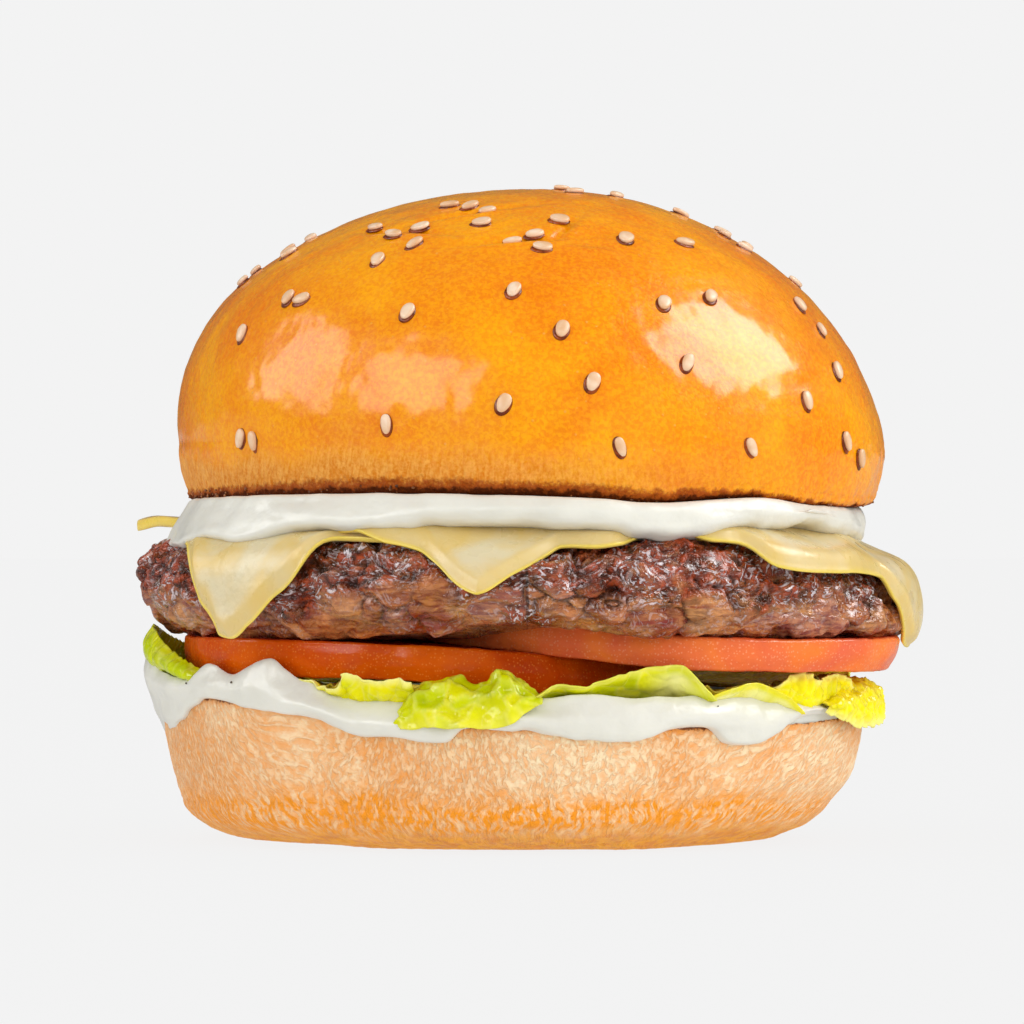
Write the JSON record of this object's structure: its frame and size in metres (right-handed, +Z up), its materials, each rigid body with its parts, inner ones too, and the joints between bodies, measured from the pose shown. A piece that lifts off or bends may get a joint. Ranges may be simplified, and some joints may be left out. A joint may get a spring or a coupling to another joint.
{
  "type": "cheeseburger",
  "caption": "Cheeseburger in a glazed sesame bun, stacked with two draped cheese slices, a beef patty, tomato slices, ruffled lettuce and white sauce.",
  "frame": {"origin": "on the flat spot the heel stands on, straight below the crown's top", "axes": "+Z up through the stack, -Y towards the viewed front, +X to the viewer's right"},
  "size_m": [0.1246, 0.1229, 0.1009],
  "materials": {
    "crown_crust": "egg-washed golden brown crust, glossy",
    "heel_crust": "pale toasted bun side, satin to matt",
    "sauce": "white mayonnaise, wet gloss",
    "cheese": "pale yellow half-melted cheese, soft gloss",
    "beef": "grilled minced beef, glistening with fat",
    "tomato": "wet tomato flesh and skin",
    "lettuce": "yellow-green leaf, waxy and wet"
  },
  "bodies": {
    "root": {"bun_heel": "heel_crust", "sauce_lower": "sauce", "lettuce_left_cup": "lettuce", "lettuce_pale_frill": "lettuce", "lettuce_front_leaf": "lettuce", "lettuce_folded_leaf": "lettuce", "lettuce_wavy_leaf": "lettuce", "lettuce_right_frill": "lettuce", "lettuce_right_bunch": "lettuce", "lettuce_back_right": "lettuce", "lettuce_back_left": "lettuce", "tomato_left": "tomato", "tomato_right": "tomato", "beef_patty": "beef", "cheese_lower": "cheese", "cheese_upper": "cheese", "sauce_upper": "sauce", "bun_crown": "crown_crust"}
  },
  "joints": []
}
